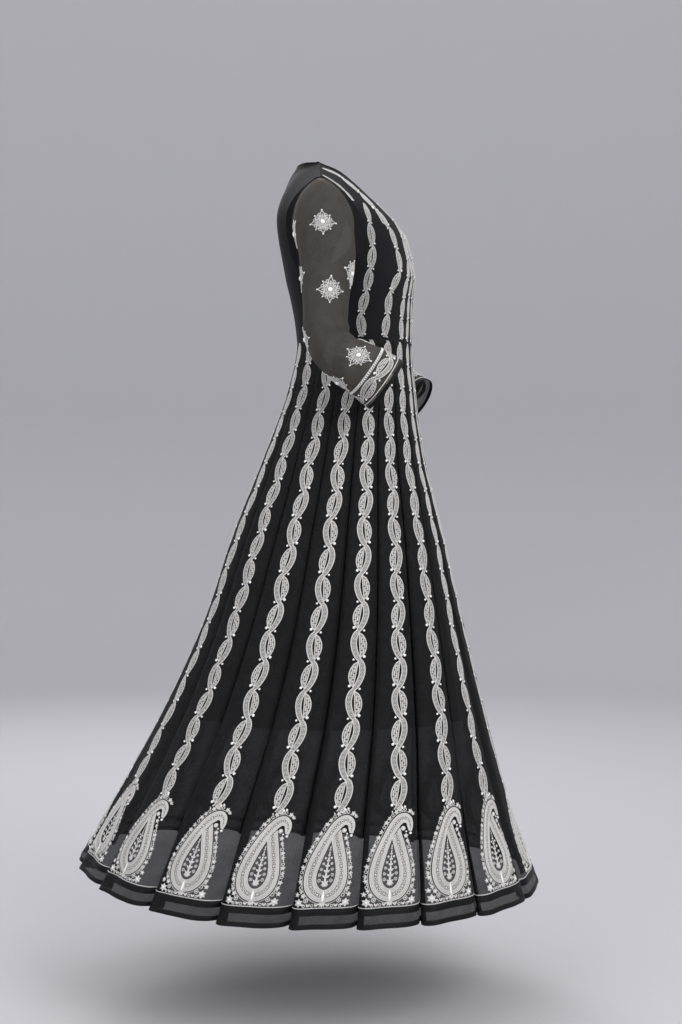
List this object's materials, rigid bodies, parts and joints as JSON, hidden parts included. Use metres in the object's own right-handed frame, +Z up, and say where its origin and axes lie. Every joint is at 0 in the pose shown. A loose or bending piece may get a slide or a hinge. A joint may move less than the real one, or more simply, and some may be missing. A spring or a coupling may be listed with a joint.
{
  "type": "anarkali gown",
  "caption": "Long flared gown in worn form with a round-neck bodice, three-quarter sleeves with cuffs, a panelled sheer skirt and an opaque underskirt.",
  "frame": {"origin": "on the shoulder line, midway between the two neck points", "axes": "+Z up, the front faces -Y, the wearer's left is +X"},
  "size_m": [0.7028, 0.799, 1.241],
  "materials": {
    "sheer_cloth": "sheer black georgette with off-white thread embroidery",
    "bodice_cloth": "black georgette over an opaque backing",
    "binding_cloth": "narrow black bias binding",
    "cuff_cloth": "sheer black cuff with an embroidered band",
    "lining_cloth": "opaque black crepe lining",
    "thread_work": "raised off-white thread embroidery with small beads"
  },
  "bodies": {
    "root": {"bodice_front": "bodice_cloth", "bodice_back": "bodice_cloth", "neck_binding": "binding_cloth", "sleeve_right": "sheer_cloth", "cuff_right": "cuff_cloth", "sleeve_left": "sheer_cloth", "cuff_left": "cuff_cloth", "lining_front": "lining_cloth", "lining_back": "lining_cloth", "kali_front": "sheer_cloth", "kali_back": "sheer_cloth", "kali_right_1": "sheer_cloth", "kali_left_1": "sheer_cloth", "kali_right_2": "sheer_cloth", "kali_left_2": "sheer_cloth", "kali_right_3": "sheer_cloth", "kali_left_3": "sheer_cloth", "kali_right_4": "sheer_cloth", "kali_left_4": "sheer_cloth", "kali_right_5": "sheer_cloth", "kali_left_5": "sheer_cloth", "kali_right_6": "sheer_cloth", "kali_left_6": "sheer_cloth", "kali_right_7": "sheer_cloth", "kali_left_7": "sheer_cloth", "kali_right_8": "sheer_cloth", "kali_left_8": "sheer_cloth", "kali_right_9": "sheer_cloth", "kali_left_9": "sheer_cloth"}
  },
  "joints": []
}
